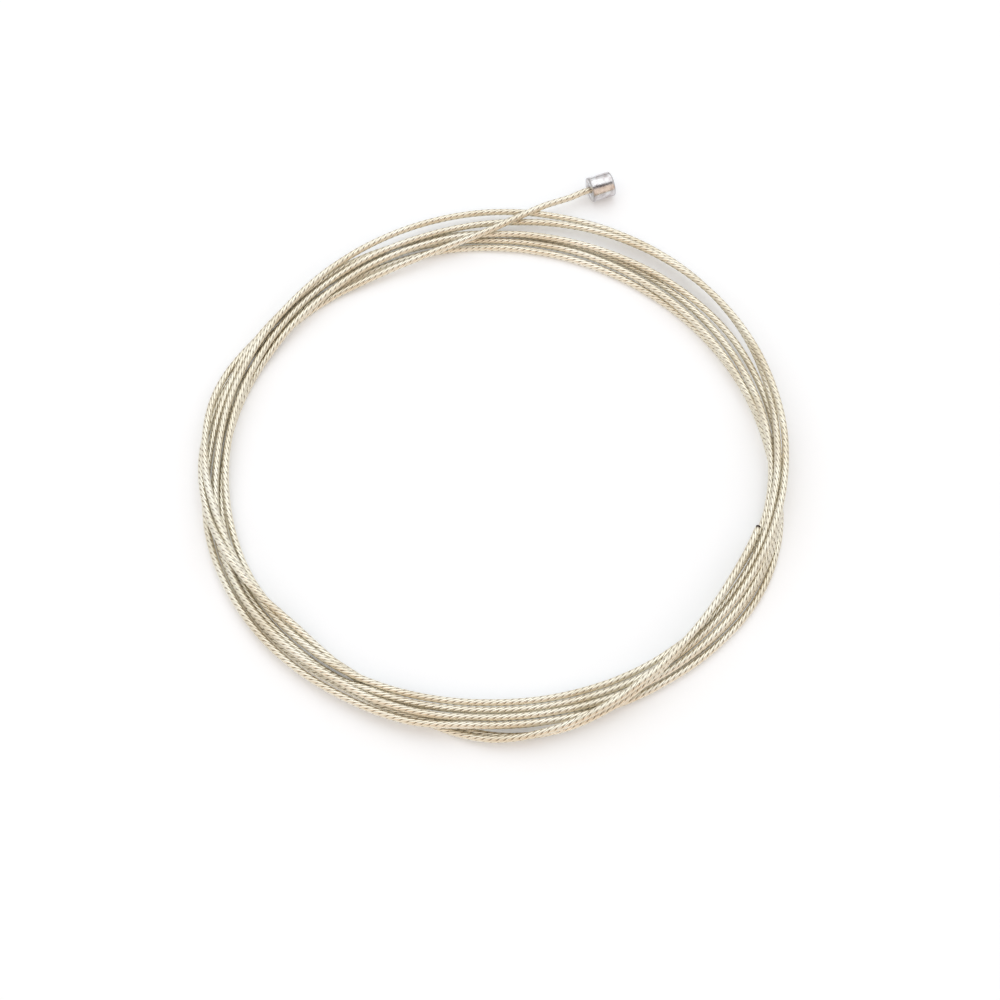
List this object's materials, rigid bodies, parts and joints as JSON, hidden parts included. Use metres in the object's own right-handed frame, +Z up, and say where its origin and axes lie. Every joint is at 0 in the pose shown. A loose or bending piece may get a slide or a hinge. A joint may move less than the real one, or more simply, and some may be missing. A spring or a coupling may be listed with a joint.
{
  "type": "bicycle shift cable",
  "caption": "Thin steel wire strand with a small cast cylinder head on one end, wound into a loose round coil lying flat.",
  "frame": {"origin": "under the middle of the coil and head together, on the surface that they lie on", "axes": "+Z up, across the flat of the coil; the head lies at +Y of the coil and its outer end points 20 degrees from +X towards +Y"},
  "size_m": [0.1012, 0.1101, 0.0051],
  "materials": {
    "bright_wire": "bright drawn wire, laid up in seven strands",
    "cast_head": "bright cast zinc alloy, lightly tumbled"
  },
  "bodies": {
    "root": {"cable": "bright_wire", "head": "cast_head"}
  },
  "joints": []
}
